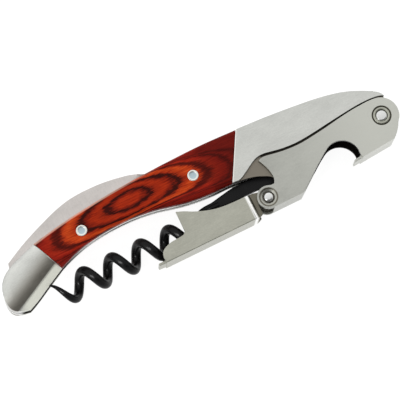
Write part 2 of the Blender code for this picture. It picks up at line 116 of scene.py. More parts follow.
STEP_EDGE = [(-43.9, 1.25), (-42.0, 2.15), (-40.0, 3.3), (-38.5, 4.15), (-36.8, 4.75), (-35.0, 4.85),
             (-33.0, 4.5), (-30.0, 3.95), (-27.0, 3.65), (-24.0, 3.62), (-20.0, 3.95), (-15.0, 4.55),
             (-10.0, 5.13), (-5.0, 5.6), (-2.0, 5.66), (0.0, 5.55), (1.6, 5.32), (2.6, 5.0), (3.6, 4.5)]
GRIND_LINE = [(-98.0, 8.6), (-92.0, 10.2), (-86.0, 10.9), (-80.0, 11.7), (-74.0, 12.9), (-69.5, 14.3),
              (-66.0, 15.35)]

# Direction from the tail's belly to its spine, nearly along its seam with the wood
TAIL_ACROSS = (-0.455, 0.890)


# ---------------------------------------------------------------- outlines and solids

def arc(centre, radius, start, end, count):
    turn = (end - start) / (count - 1)
    angles = [math.radians(start + turn * i) for i in range(count)]
    return [(centre[0] + radius * math.cos(a), centre[1] + radius * math.sin(a)) for a in angles]


def corner(point):
    return (point[0], point[1], C)


def ring(centre, radius):
    return ("ring", centre, radius)


def tongue_outline():
    return (TONGUE_EDGE + arc(WORM_PIVOT, 3.5, 190, 335, 7) + TONGUE_TOP
            + arc(LEVER_PIVOT, 4.6, 220, 405, 9) + [(3.1, 4.3, C)])


def handle_outline():
    return ([(3.15, 4.95, C)] + HEAD_SPINE + [SEAM_HEAD[0]] + WOOD_SPINE + [SEAM_TAIL[0]] + TAIL_END
            + [SEAM_TAIL[1]] + WOOD_BELLY + [SEAM_HEAD[1]] + tongue_outline())


def in_row_frame(x, y, z):
    return Vector(((x + FRAME_SHIFT[0]) * MM, (y + FRAME_SHIFT[1]) * MM, (z + FRAME_SHIFT[2]) * MM))


def link(name, mesh):
    piece = bpy.data.objects.new(name, mesh)
    bpy.context.scene.collection.objects.link(piece)
    return piece


def add_outline(curve, points):
    spline = curve.splines.new("BEZIER")
    spline.bezier_points.add(len(points) - 1)
    spline.use_cyclic_u = True
    for bezier, point in zip(spline.bezier_points, points):
        bezier.co = (point[0] * MM, point[1] * MM, 0.0)
        kind = "VECTOR" if len(point) == 3 else "AUTO"
        bezier.handle_left_type = kind
        bezier.handle_right_type = kind


def add_ring(curve, centre, radius):
    spline = curve.splines.new("POLY")
    spline.points.add(ROUND - 1)
    spline.use_cyclic_u = True
    for i, point in enumerate(spline.points):
        angle = 2 * math.pi * i / ROUND
        x = centre[0] + radius * math.cos(angle)
        y = centre[1] + radius * math.sin(angle)
        point.co = (x * MM, y * MM, 0.0, 1.0)


def mesh_of(piece):
    """The piece's mesh with its modifiers applied, or the mesh that a curve makes."""
    graph = bpy.context.evaluated_depsgraph_get()
    return bpy.data.meshes.new_from_object(piece.evaluated_get(graph))


def mesh_of_curve(curve):
    holder = link("curve_holder", curve)
    mesh = mesh_of(holder)
    bpy.data.objects.remove(holder, do_unlink=True)
    return mesh


@contextmanager
def editing(mesh):
    """Open a mesh for editing, then write it back with every face looking outwards."""
    work = bmesh.new()
    work.from_mesh(mesh)
    yield work
    bmesh.ops.recalc_face_normals(work, faces=work.faces)
    work.to_mesh(mesh)
    work.free()


def flat_solid(name, outlines, low, high, fineness=8):
    """A closed solid between z = low and z = high, already in the row frame."""
    curve = bpy.data.curves.new(name, "CURVE")
    curve.dimensions = "2D"
    curve.fill_mode = "BOTH"
    curve.extrude = (high - low) / 2 * MM
    curve.resolution_u = fineness
    for outline in outlines:
        if outline[0] == "ring":
            add_ring(curve, outline[1], outline[2])
        else:
            add_outline(curve, outline)
    mesh = mesh_of_curve(curve)
    with editing(mesh) as work:
        bmesh.ops.remove_doubles(work, verts=work.verts, dist=1e-6)
        if len(outlines) == 1:
            bmesh.ops.dissolve_limit(work, angle_limit=math.radians(0.2), verts=work.verts,
                                     edges=work.edges)
        bmesh.ops.translate(work, verts=work.verts, vec=in_row_frame(0.0, 0.0, (low + high) / 2))
    return link(name, mesh)


def round_rim(piece, side, width, steps, chosen):
    """Round the rim of the face that looks along side * Z, where chosen(x, y) says so."""
    with editing(piece.data) as work:
        top = max(vert.co.z * side for vert in work.verts)
        rim = []
        for edge in work.edges:
            if all(abs(vert.co.z * side - top) < 1e-6 for vert in edge.verts):
                middle = (edge.verts[0].co + edge.verts[1].co) / 2
                if chosen(middle.x / MM - FRAME_SHIFT[0], middle.y / MM - FRAME_SHIFT[1]):
                    rim.append(edge)
        bmesh.ops.bevel(work, geom=rim, offset=width * MM, segments=steps, profile=0.5, affect="EDGES",
                        clamp_overlap=True)


def apply_modifiers(piece):
    mesh = mesh_of(piece)
    piece.modifiers.clear()
    piece.data = mesh


def carve(piece, cutter, operation="DIFFERENCE"):
    modifier = piece.modifiers.new("Carve", "BOOLEAN")
    modifier.operation = operation
    modifier.solver = "EXACT"
    modifier.object = cutter
    apply_modifiers(piece)
    bpy.data.objects.remove(cutter, do_unlink=True)


def side_solid(name, outline, low, high):
    """A solid whose outline is in X and Z, running from y = low to y = high."""
    solid = flat_solid(name, [outline], -(high - low) / 2, (high - low) / 2, fineness=6)
    back = Matrix.Translation(-in_row_frame(0.0, 0.0, 0.0))
    turn = Matrix.Rotation(math.radians(90), 4, "X")
    forth = Matrix.Translation(in_row_frame(0.0, (low + high) / 2, 0.0))
    solid.data.transform(forth @ turn @ back)
    return solid


def turned(name, profile, centre):
    """A turned piece about Z at centre: (radius, z) points down its outside, closed if it has a bore."""
    mesh = bpy.data.meshes.new(name)
    closed = profile[0][0] > 0
    edges = [(i, i + 1) for i in range(len(profile) - 1)]
    if closed:
        edges.append((len(profile) - 1, 0))
    mesh.from_pydata([(r * MM, 0.0, z * MM) for r, z in profile], edges, [])
    piece = link(name, mesh)
    screw = piece.modifiers.new("Turn", "SCREW")
    screw.steps = ROUND
    screw.render_steps = ROUND
    screw.use_merge_vertices = True
    screw.merge_threshold = 1e-6
    apply_modifiers(piece)
    with editing(piece.data) as work:
        bmesh.ops.translate(work, verts=work.verts, vec=in_row_frame(*centre, 0.0))
    return piece


def finish_piece(piece, body, node, material, edge=0.0, sharp=35, flats=True):
    """Break the sharp edges, smooth the rest, dress the piece and tie it to its body.

    Stray corners of the bevel are pressed back into the piece's own box, inside the CAD model's box.
    """
    low = [max(min(vert.co[i] for vert in piece.data.vertices), cad_box[0][i]) for i in range(3)]
    high = [min(max(vert.co[i] for vert in piece.data.vertices), cad_box[1][i]) for i in range(3)]
    if edge:
        bevel = piece.modifiers.new("Broken edges", "BEVEL")
        bevel.width = edge * MM
        bevel.segments = 2
        bevel.limit_method = "ANGLE"
        bevel.angle_limit = math.radians(38)
        bevel.use_clamp_overlap = False
        bevel.miter_outer = "MITER_ARC"
        apply_modifiers(piece)
    for vert in piece.data.vertices:
        vert.co = [min(max(vert.co[i], low[i]), high[i]) for i in range(3)]
    piece.data.materials.clear()
    piece.data.materials.append(material)
    piece.data.shade_smooth()
    piece.data.set_sharp_from_angle(angle=math.radians(sharp))
    if flats:
        even = piece.modifiers.new("Flat faces shade flat", "WEIGHTED_NORMAL")
        even.weight = 100
        even.keep_sharp = True
    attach(piece, body)
    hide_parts(node)


def both_sides(inner, outer):
    """For the front and then the rear: name, side, and the lower and upper Z of a layer."""
    yield "front", 1, inner, outer
    yield "rear", -1, -outer, -inner


# ---------------------------------------------------------------- materials

def linear(red, green, blue):
    """A display colour, 0 to 255, as the linear colour that the shaders take."""
    return tuple(((value / 255 + 0.055) / 1.055) ** 2.4 for value in (red, green, blue)) + (1.0,)


class Nodes:
    """A node tree, built one node at a time."""

    def __init__(self, tree):
        self.tree = tree

    def feed(self, socket, value):
        """Join the socket to another node's output, or set it to a plain value."""
        if isinstance(value, bpy.types.NodeSocket):
            self.tree.links.new(value, socket)
        else:
            socket.default_value = value

    def add(self, kind, inputs=None, **settings):
        made = self.tree.nodes.new(kind)
        for key, value in settings.items():
            setattr(made, key, value)
        for key, value in (inputs or {}).items():
            self.feed(made.inputs[key], value)
        return made

    def maths(self, operation, *values):
        return self.add("ShaderNodeMath", dict(enumerate(values)), operation=operation).outputs[0]

    def spread(self, source, low, high, to_low, to_high, kind="LINEAR"):
        """Map low to to_low and high to to_high, and hold the value past them."""
        inputs = {"Value": source, "From Min": low, "From Max": high, "To Min": to_low, "To Max": to_high}
        return self.add("ShaderNodeMapRange", inputs, interpolation_type=kind).outputs["Result"]

    def smooth(self, source, start, end):
        """0 where source is at start, 1 where it is at end, smooth in between."""
        return self.spread(source, start, end, 0.0, 1.0, "SMOOTHSTEP")


class Recipe(Nodes):
    """A material. Its places are Object coordinates, which are positions in the row frame at rest."""

    def __init__(self, name):
        self.material = bpy.data.materials.new(name)
        self.material.use_nodes = True
        super().__init__(self.material.node_tree)
        self.shader = self.tree.nodes["Principled BSDF"]
        self.place = self.add("ShaderNodeTexCoord").outputs["Object"]

    def paint(self, channel, value):
        self.feed(self.shader.inputs[channel], value)

    def noise(self, cell, detail=4.0, rough=0.55, offset=(0.0, 0.0, 0.0)):
        """Noise with cells of that size in mm."""
        mapping = self.add("ShaderNodeMapping", {"Vector": self.place, "Location": offset,
                                                 "Scale": [1 / (size * MM) for size in cell]})
        made = self.add("ShaderNodeTexNoise", {"Vector": mapping.outputs[0], "Scale": 1.0,
                                               "Detail": detail, "Roughness": rough})
        return made.outputs["Fac"]

    def mix(self, factor, first, second, blend="MIX"):
        inputs = {0: factor, 6: first, 7: second}
        return self.add("ShaderNodeMix", inputs, data_type="RGBA", blend_type=blend).outputs[2]

    def vector_maths(self, operation, first, second):
        return self.add("ShaderNodeVectorMath", {0: first, 1: second}, operation=operation).outputs

    def axis(self, letter):
        return self.add("ShaderNodeSeparateXYZ", {0: self.place}).outputs[letter]

    def between(self, source, start, end):
        """A smooth step of a length, with its start and end in mm."""
        return self.smooth(source, start * MM, end * MM)

    def both(self, *masks):
        result = masks[0]
        for mask in masks[1:]:
            result = self.maths("MULTIPLY", result, mask)
        return result

    def depth(self):
        """Distance from the middle plane of the tool."""
        return self.maths("ABSOLUTE", self.maths("SUBTRACT", self.axis("Z"), FRAME_SHIFT[2] * MM))

    def distance(self, centre):
        """Distance from the line along Z through a point of the outlines' plane."""
        flat = self.vector_maths("MULTIPLY", self.place, (1.0, 1.0, 0.0))["Vector"]
        return self.vector_maths("DISTANCE", flat, in_row_frame(*centre, -FRAME_SHIFT[2]))["Value"]

    def beyond(self, start, direction):
        """How far a place lies from start in that direction, both in the outlines' plane."""
        offset = self.vector_maths("SUBTRACT", self.place, in_row_frame(*start, 0.0))["Vector"]
        return self.vector_maths("DOT_PRODUCT", offset, (*direction, 0.0))["Value"]

    def bump(self, height, strength, depth):
        made = self.add("ShaderNodeBump", {"Height": height, "Strength": strength, "Distance": depth * MM})
        self.paint("Normal", made.outputs["Normal"])


def steel(name, colour, rough, grain, brushed=(3.0, 0.16, 0.16), tints=(), painted_shade=None):
    """Satin steel: fine brush lines along the tool, soft clouds, and a few short scratches.

    Each tint is a colour, most of them painted light or shade, and a function that gives where it goes.
    The last argument gives where the metal is painted dull black as shade.
    """
    recipe = Recipe(name)
    lines = recipe.noise(brushed, 5.0, 0.6)
    clouds = recipe.noise((7.0, 4.0, 4.0), 3.0, 0.5, (3.1, 1.7, 0.4))
    speckle = recipe.noise((0.55, 0.4, 0.4), 3.0, 0.6, (7.7, 2.3, 5.1))
    tone = recipe.maths("ADD", recipe.spread(lines, 0.3, 0.7, -0.5 * grain, 0.5 * grain),
                        recipe.spread(clouds, 0.3, 0.7, -0.4 * grain, 0.4 * grain))
    tone = recipe.maths("ADD", tone, recipe.spread(speckle, 0.3, 0.7, -0.3 * grain, 0.3 * grain))
    scratch = recipe.noise((2.2, 0.05, 0.3), 1.0, 0.4, (1.3, 9.1, 4.2))
    marks = recipe.spread(scratch, 0.69, 0.74, 0.0, 1.0)
    base = linear(*colour)
    dark = tuple(0.72 * value for value in base[:3]) + (1.0,)
    light = tuple(min(1.0, 1.28 * value) for value in base[:3]) + (1.0,)
    shade = recipe.mix(recipe.maths("ADD", tone, 0.5), dark, light)
    shade = recipe.mix(recipe.maths("MULTIPLY", marks, 0.22), shade, dark)
    for tint, where in tints:
        shade = recipe.mix(where(recipe), shade, linear(*tint))
    recipe.paint("Metallic", 1.0)
    # Painted shade: where the mask is, the metal turns dull black and stops being metallic
    if painted_shade:
        shade_mask = painted_shade(recipe)
        shade = recipe.mix(shade_mask, shade, linear(22, 19, 17))
        recipe.paint("Metallic", recipe.maths("SUBTRACT", 1.0, shade_mask))
        recipe.paint("Specular IOR Level", 0.05)
    recipe.paint("Base Color", shade)
    gloss = recipe.maths("ADD", recipe.spread(lines, 0.25, 0.75, rough - 0.06, rough + 0.06),
                         recipe.spread(clouds, 0.3, 0.7, -0.03, 0.03))
    recipe.paint("Roughness", gloss)
    recipe.bump(recipe.maths("ADD", lines, recipe.maths("MULTIPLY", marks, -0.4)), 0.25, 0.012)
    return recipe.material


def within(centre, radius, fade=0.1, surface=9.0):
    """A round spot on the outlines' plane, on everything less than surface mm from the middle."""
    def mask(recipe):
        spot = recipe.between(recipe.distance(centre), radius + fade, radius)
        return recipe.both(spot, recipe.between(recipe.depth(), surface + 0.1, surface))
    return mask


def shaded_tongue(recipe):
    """Painted shade on the sunken part of the head bolster and the wall of its step."""
    sunk = recipe.between(recipe.depth(), 4.85, 4.65)
    at_head = recipe.between(recipe.axis("X"), 4.0, 6.0)
    below_spine = recipe.between(recipe.axis("Y"), 2.9, 2.5)
    return recipe.both(sunk, at_head, below_spine)


def shaded_gap_by_lever(recipe):
    """Painted shade on the strip of the sunken part that shows between the lever and the step, and on the
    step's wall.
    """
    along = recipe.axis("X")
    lowest_from = 29.5 * MM
    lowest_to = 32.5 * MM
    to_tip = recipe.maths("MAXIMUM", recipe.maths("SUBTRACT", along, lowest_to), 0.0)
    to_worm = recipe.maths("MAXIMUM", recipe.maths("SUBTRACT", lowest_from, along), 0.0)
    rise = recipe.maths("ADD", recipe.maths("MULTIPLY", to_tip, 0.075),
                        recipe.maths("MULTIPLY", to_worm, 0.14))
    strip = recipe.between(recipe.maths("SUBTRACT", recipe.axis("Y"), rise), -0.85, -0.65)
    below_face = recipe.between(recipe.depth(), 5.95, 5.85)
    return recipe.both(strip, below_face, recipe.between(recipe.axis("Y"), 2.9, 2.5),
                       recipe.between(along, 20.2, 21.2), recipe.between(along, 57.5, 54.0))


def under_tongue(recipe):
    """The belly wall of the sunken part, which is in deep shade next to the worm."""
    return recipe.both(recipe.between(recipe.depth(), 4.40, 4.28),
                       recipe.between(recipe.axis("X"), 6.0, 9.0),
                       recipe.between(recipe.axis("Y"), 0.4, 0.0))


def on_tail(recipe):
    return recipe.between(recipe.axis("X"), -40.0, -42.0)


def above_tail_belly(recipe):
    """How far a place on the tail lies from its belly edge towards the spine."""
    return recipe.beyond(SEAM_TAIL[1], TAIL_ACROSS)


def bevel_highlight_on_tail(recipe):
    """A painted highlight on the flat bevel along the tail's belly."""
    return recipe.both(on_tail(recipe), recipe.between(above_tail_belly(recipe), 2.45, 2.25),
                       recipe.between(recipe.axis("X"), -60.0, -56.0))


def tail_shadow(recipe):
    """A painted dark reflection over the lower half of the tail's dome."""
    rise = above_tail_belly(recipe)
    return recipe.both(on_tail(recipe), recipe.between(rise, 2.25, 2.45),
                       recipe.between(rise, 8.8, 3.4), 0.8)


def along_seam(recipe, start, end, width):
    """1 on the right of the seam from start to end, up to width from it, and 0 further away."""
    along = Vector(end) - Vector(start)
    right = Vector((along.y, -along.x)).normalized()
    return recipe.between(recipe.beyond(start, right), width + 0.14, width)


def head_seam_highlight(recipe):
    """A painted highlight on the edge of the head bolster along the wood."""
    return recipe.both(along_seam(recipe, SEAM_HEAD[1], SEAM_HEAD[0], 0.18),
                       recipe.between(recipe.axis("X"), 0.0, 4.0))


def tail_seam_highlight(recipe):
    """A painted highlight on the edge of the tail bolster along the wood."""
    return recipe.both(on_tail(recipe), along_seam(recipe, SEAM_TAIL[0], SEAM_TAIL[1], 0.16),
                       recipe.between(above_tail_belly(recipe), 6.0, 4.0))


def shaded_liner_edges(recipe):
    """Painted shade on the liners' belly edges at the tail and next to the worm's hinge."""
    along = recipe.axis("X")
    at_head = recipe.both(recipe.between(along, 0.0, 7.0), recipe.between(recipe.axis("Y"), 0.0, -0.6))
    at_tail = recipe.both(recipe.between(along, -32.0, -43.0),
                          recipe.between(above_tail_belly(recipe), 2.0, 1.2))
    return recipe.maths("ADD", at_head, at_tail)


def joggle_crest_highlight(recipe):
    """A painted highlight where the lower lever starts to bend inwards."""
    along = recipe.axis("X")
    return recipe.both(recipe.between(along, 11.1, 11.7), recipe.between(along, 12.5, 12.2))


def shaded_ears(recipe):
    """Painted shade on the lower lever's ears."""
    return recipe.between(recipe.axis("X"), 12.3, 12.9)


def notch_shade(recipe):
    """Painted shade on the wall of the bottle opener's notch and the inside of the lever next to it."""
    wall = within(NOTCH_CENTRE, NOTCH_R + 0.25, 0.06, LEVER_OUT - 0.15)(recipe)
    inside = within(NOTCH_CENTRE, NOTCH_R + 2.2, 0.5, LEVER_OUT - SHEET + 0.08)(recipe)
    above_tooth = recipe.between(recipe.axis("Y"), -11.4, -10.9)
    return recipe.both(recipe.maths("MAXIMUM", wall, inside), above_tooth)


def lit_towards_pivot(recipe):
    """Painted light on the upper lever, more and more towards its pivot."""
    return recipe.between(recipe.axis("X"), 14.0, 58.0)


def pakka_wood():
    """Dyed laminated wood: flame-shaped dark rings round one long eye, fine grain along the handle."""
    recipe = Recipe("pakka_wood")
    centre = in_row_frame(*WOOD_EYE, 0.0) / MM
    along = recipe.maths("SUBTRACT", recipe.maths("DIVIDE", recipe.axis("X"), MM), centre.x)
    across = recipe.maths("SUBTRACT", recipe.maths("DIVIDE", recipe.axis("Y"), MM), centre.y)
    # The rings follow the handle's bow, close up at its edges and stretch along it
    bow = recipe.maths("MULTIPLY", recipe.maths("MULTIPLY", along, along), 0.00375)
    across = recipe.maths("ADD", across, bow)
    steep = recipe.maths("POWER", recipe.maths("DIVIDE", recipe.maths("ABSOLUTE", across), 5.0), 6.0)
    across = recipe.maths("MULTIPLY", across, recipe.maths("MULTIPLY_ADD", steep, 0.45, 1.0))
    squeeze = recipe.spread(recipe.maths("ABSOLUTE", along), 6.0, 14.0, 2.75, 3.3)
    along = recipe.maths("DIVIDE", along, squeeze)
    ring_field = recipe.maths("SQRT", recipe.maths("ADD", recipe.maths("MULTIPLY", along, along),
                                                   recipe.maths("MULTIPLY", across, across)))
    # Broad, middling and streaky wobble in the rings' outlines: cell size, reach in mm and shift
    wobbles = (((9.0, 3.6, 5.0), 0.3, (2.0, 5.0, 1.0)), ((2.4, 1.1, 3.0), 0.45, (8.0, 1.0, 6.0)),
               ((2.2, 0.25, 2.0), 0.75, (4.0, 3.0, 9.0)))
    for cell, reach, shift in wobbles:
        wobble = recipe.spread(recipe.noise(cell, 2.0, 0.5, shift), 0.2, 0.8, -0.5 * reach, 0.5 * reach)
        ring_field = recipe.maths("ADD", ring_field, wobble)
    # Colour by distance from the eye, in mm across the handle
    ramp = recipe.add("ShaderNodeValToRGB")
    stops = [(0.0, (168, 48, 20)), (1.2, (178, 50, 19)), (1.85, (120, 30, 15)), (2.15, (60, 15, 11)),
             (2.5, (64, 16, 12)), (2.85, (160, 44, 18)), (3.6, (176, 50, 18)), (4.1, (130, 32, 15)),
             (4.38, (60, 17, 12)), (4.78, (64, 17, 12)), (5.15, (178, 54, 21)), (5.9, (208, 78, 29)),
             (6.3, (196, 66, 26)), (6.7, (110, 26, 15)), (7.0, (80, 20, 13)), (7.3, (95, 23, 14)),
             (7.8, (168, 42, 22)), (8.6, (150, 32, 19)), (9.2, (84, 19, 12)), (9.8, (140, 30, 19)),
             (10.8, (90, 20, 13)), (12.0, (135, 30, 20))]
    span = 12.5
    while len(ramp.color_ramp.elements) < len(stops):
        ramp.color_ramp.elements.new(0.5)
    for element, (where, colour) in zip(ramp.color_ramp.elements, stops):
        element.position = where / span
        element.color = linear(*colour)
    recipe.feed(ramp.inputs["Fac"], recipe.maths("DIVIDE", ring_field, span))
    grain = recipe.noise((6.0, 0.22, 0.5), 4.0, 0.6, (0.5, 6.0, 3.0))
    shade = recipe.mix(recipe.spread(grain, 0.42, 0.66, 0.0, 0.8), ramp.outputs["Color"],
                       linear(178, 110, 100), "MULTIPLY")
    pores = recipe.spread(recipe.noise((1.6, 0.07, 0.3), 2.0, 0.5, (5.0, 8.0, 2.0)), 0.62, 0.70, 0.0, 0.5)
    shade = recipe.mix(pores, shade, linear(48, 8, 6))
    near_head = recipe.between(recipe.axis("X"), 3.4, 6.2)
    shade = recipe.mix(recipe.maths("MULTIPLY", near_head, 0.38), shade, linear(38, 8, 6))
    # A painted highlight along the rounded rim of the spine
    rim_highlight = recipe.both(recipe.between(recipe.depth(), 5.05, 5.3),
                         recipe.between(recipe.depth(), 5.97, 5.85),
                         recipe.between(recipe.axis("Y"), 4.0, 5.0),
                         recipe.between(recipe.axis("X"), -4.0, -26.0))
    shade = recipe.mix(recipe.maths("MULTIPLY", rim_highlight, 0.55), shade, linear(225, 180, 160))
    recipe.paint("Base Color", shade)
    recipe.paint("Roughness", recipe.spread(grain, 0.3, 0.7, 0.34, 0.46))
    recipe.paint("Specular IOR Level", 0.05)
    recipe.bump(recipe.maths("SUBTRACT", grain, recipe.maths("MULTIPLY", pores, 0.8)), 0.25, 0.02)
    return recipe.material


def coated_black():
    """The worm's black non-stick coat: slightly uneven gloss over a pebbled surface."""
    recipe = Recipe("coated_black")
    pebble = recipe.noise((0.5, 0.5, 0.5), 4.0, 0.6)
    cloud = recipe.noise((3.0, 3.0, 3.0), 2.0, 0.5, (2.0, 4.0, 8.0))
    recipe.paint("Base Color", recipe.mix(cloud, (0.0016, 0.0016, 0.0018, 1.0),
                                          (0.0042, 0.0040, 0.0044, 1.0)))
    recipe.paint("Roughness", recipe.spread(pebble, 0.3, 0.7, 0.24, 0.35))
    recipe.paint("Specular IOR Level", 0.12)
    recipe.bump(pebble, 0.25, 0.03)
    return recipe.material


# ---------------------------------------------------------------- the handle

def make_head_bolsters():
    outline = ([(3.15, 4.95, C)] + HEAD_SPINE + [corner(SEAM_HEAD[0]), corner(SEAM_HEAD[1])]
               + tongue_outline())
    recess = [(-47.5, 0.9, C)] + STEP_EDGE + [(9.0, 4.0, C), (9.0, -12.0, C), (-47.5, -12.0, C)]
    holes = [ring(LEVER_PIVOT, BUSH_R + FIT), ring(WORM_PIVOT, WORM_PIN_R + FIT)]
    for name, side, low, high in both_sides(SCALE_IN, HALF_THICKNESS):
        bolster = flat_solid(name + "_head_bolster_fine", [outline], low, high)
        round_rim(bolster, side, 0.8, 6, lambda x, y: y > 7.3 + 0.06 * abs(x) and x > -38.5)
        step = sorted((side * TONGUE_OUT, side * (HALF_THICKNESS + 1)))
        carve(bolster, flat_solid("step_cutter", [recess], *step))
        through = sorted((side * (SCALE_IN - 1), side * (TONGUE_OUT + 1)))
        carve(bolster, flat_solid("hole_cutter", holes, *through))
        finish_piece(bolster, "handle", name + "_head_bolster", satin_steel, 0.12)


def along_grip(x, y):
    """True on the wood's long edges and false on its two slanted ends."""
    on_head_seam = abs((x + 46.5) - (y - 1.3) * 7.6 / 13.25) < 0.35
    on_tail_seam = abs((x + 99.7) + (y - 1.0) * 4.3 / 9.4) < 0.35
    return not (on_head_seam or on_tail_seam)


def is_spine(y):
    return y > 8.0


def make_scales():
    """The wood. The rear one's belly edge is drawn in a little, out of sight behind the liners."""
    gap = 0.1
    holes = [ring(HEAD_SCALE_PIN, SCALE_PIN_R + 0.03), ring(TAIL_SCALE_PIN, SCALE_PIN_R + 0.03)]
    for name, side, low, high in both_sides(SCALE_IN, HALF_THICKNESS):
        draw = 0.0 if side > 0 else 0.4
        belly = [(x, y + draw) for x, y in WOOD_BELLY]
        outline = ([(SEAM_HEAD[0][0] - gap, SEAM_HEAD[0][1], C)] + WOOD_SPINE
                   + [(SEAM_TAIL[0][0] + gap, SEAM_TAIL[0][1], C),
                      (SEAM_TAIL[1][0] + gap - 0.46 * draw, SEAM_TAIL[1][1] + draw, C)]
                   + belly + [(SEAM_HEAD[1][0] - gap + 0.57 * draw, SEAM_HEAD[1][1] + draw, C)])
        scale = flat_solid(name + "_wood_scale_fine", [outline], low, high)
        round_rim(scale, side, 0.95, 6, lambda x, y: along_grip(x, y) and is_spine(y))
        round_rim(scale, side, 1.5, 7, lambda x, y: along_grip(x, y) and not is_spine(y))
        carve(scale, flat_solid("pin_holes", holes, low - 1, high + 1))
        finish_piece(scale, "handle", name + "_wood_scale", wood, 0.06)


def smooth_line(points, steps):
    """Points along a smooth line through the given ones."""
    points = [Vector(point[:2]) for point in points]
    line = []
    for i in range(len(points) - 1):
        before = points[max(i - 1, 0)]
        after = points[min(i + 2, len(points) - 1)]
        a, b = points[i], points[i + 1]
        for k in range(steps):
            t = k / steps
            line.append(0.5 * ((2 * a) + (b - before) * t + (2 * before - 5 * a + 4 * b - after) * t * t
                               + (3 * a - before - 3 * b + after) * t ** 3))
    return line + [points[-1]]


def distance_to(line, x, y):
    here = Vector((x, y))
    best = 1e9
    for a, b in zip(line, line[1:]):
        along = b - a
        t = max(0.0, min(1.0, (here - a).dot(along) / along.length_squared))
        best = min(best, (a + along * t - here).length)
    return best


def tail_height(x, y, rim):
    """Outer face of the tail bolster: a shallow dome, a flat bevel on the belly, a rolled rim elsewhere."""
    across = Vector(TAIL_ACROSS).dot(Vector((x - SEAM_TAIL[1][0], y - SEAM_TAIL[1][1])))
    dome = HALF_THICKNESS - 0.1 - (across - 7.3) ** 2 / 27.0
    bevel = 3.25 + 0.84 * max(across, -0.2)
    soft = 0.12
    height = 0.5 * (dome + bevel - math.sqrt((dome - bevel) ** 2 + soft ** 2))
    roll = 2.6
    edge = max(0.0, 1.0 - distance_to(rim, x, y) / roll)
    return height - 1.55 * (1.0 - math.sqrt(max(0.0, 1.0 - edge * edge)))


def make_tail_bolsters():
    outline = ([corner(SEAM_TAIL[0])] + TAIL_END + [(-104.6, -1.5), corner(SEAM_TAIL[1])])
    rim = smooth_line([SEAM_TAIL[0]] + TAIL_END[:5], 6)
    left, right, bottom, top, cell = -119.0, -98.8, -7.0, 11.6, 0.25
    columns = round((right - left) / cell)
    rows = round((top - bottom) / cell)
    heights = [[tail_height(left + i * cell, bottom + j * cell, rim) for i in range(columns + 1)]
               for j in range(rows + 1)]
    above_dome = 8.0
    below_dome = 0.5
    loop = ([(0, i) for i in range(columns)] + [(j, columns) for j in range(rows)]
            + [(rows, columns - i) for i in range(columns)] + [(rows - j, 0) for j in range(rows)])
    for name, side, low, high in both_sides(SCALE_IN, above_dome):
        mesh = bpy.data.meshes.new("dome")
        with editing(mesh) as work:
            sheets = []
            for lid in (True, False):
                sheet = []
                for j in range(rows + 1):
                    row = []
                    for i in range(columns + 1):
                        z = heights[j][i] if lid else below_dome
                        place = in_row_frame(left + i * cell, bottom + j * cell, side * z)
                        row.append(work.verts.new(place))
                    sheet.append(row)
                sheets.append(sheet)
                for j in range(rows):
                    for i in range(columns):
                        work.faces.new((sheet[j][i], sheet[j][i + 1], sheet[j + 1][i + 1], sheet[j + 1][i]))
            for (j, i), (l, k) in zip(loop, loop[1:] + loop[:1]):
                work.faces.new((sheets[0][j][i], sheets[0][l][k], sheets[1][l][k], sheets[1][j][i]))
        bolster = flat_solid(name + "_tail_bolster_fine", [outline], low, high)
        carve(bolster, link("dome", mesh), "INTERSECT")
        finish_piece(bolster, "handle", name + "_tail_bolster", satin_steel, sharp=45,
                     flats=False)


def make_liners():
    holes = [ring(LEVER_PIVOT, BUSH_R + FIT), ring(WORM_PIVOT, WORM_PIN_R + FIT),
             ring(KNIFE_PIVOT, KNIFE_PIN_R + FIT)]
    for name, _side, low, high in both_sides(LINER_IN, LINER_OUT):
        liner = flat_solid(name + "_liner_fine", [handle_outline()] + holes, low, high)
        finish_piece(liner, "handle", name + "_liner", liner_steel, 0.08)


def make_inner_pieces():
    spacer = ([(1.6, 5.9, C), (0.0, 7.4), (-6.0, 10.1), (-15.0, 12.1), (-27.0, 13.3, C), (-27.0, 0.9, C),
               (-20.0, 1.2), (-13.0, 1.0), (-8.5, -0.4)]
              + arc(LEVER_PIVOT, 4.4, 220, 410, 9) + [(2.0, 4.8, C)])
    piece = flat_solid("head_spacer_fine", [spacer, ring(LEVER_PIVOT, BUSH_R + FIT)], -SLOT_HALF, SLOT_HALF)
    finish_piece(piece, "handle", "head_spacer", spring_steel, 0.08)
    spring = [(-27.5, 13.4, C), (-38.8, 14.2), (-50.0, 14.6), (-60.0, 14.4), (-65.5, 13.9, C), (-66.5, 10.0),
              (-69.5, 7.6), (-80.0, 6.7), (-90.3, 5.9), (-98.0, 4.0), (-102.6, 2.3), (-103.2, 0.4, C),
              (-99.7, 1.7), (-94.0, 3.6), (-88.5, 4.7), (-81.0, 5.3), (-75.0, 5.2), (-69.0, 4.5),
              (-64.0, 3.3), (-59.0, 2.3), (-50.0, 1.8), (-40.0, 2.0), (-34.0, 1.3), (-28.2, 1.2, C),
              (-28.2, 2.9, C), (-34.0, 3.2), (-42.0, 4.6, C), (-42.0, 5.6, C), (-27.5, 5.6, C)]
    piece = flat_solid("back_spring_fine", [spring], 0.05 - SLOT_HALF, SLOT_HALF - 0.05)
    finish_piece(piece, "handle", "back_spring", spring_steel, 0.08)


def mirrored(half):
    """A turned profile that is the same at both ends, from its upper half."""
    return half + [(r, -z) for r, z in reversed(half)]


def facing(profile, side):
    """A turned profile drawn for the front face, as it is or turned over for the rear face."""
    return [(r, side * z) for r, z in (profile if side > 0 else reversed(profile))]


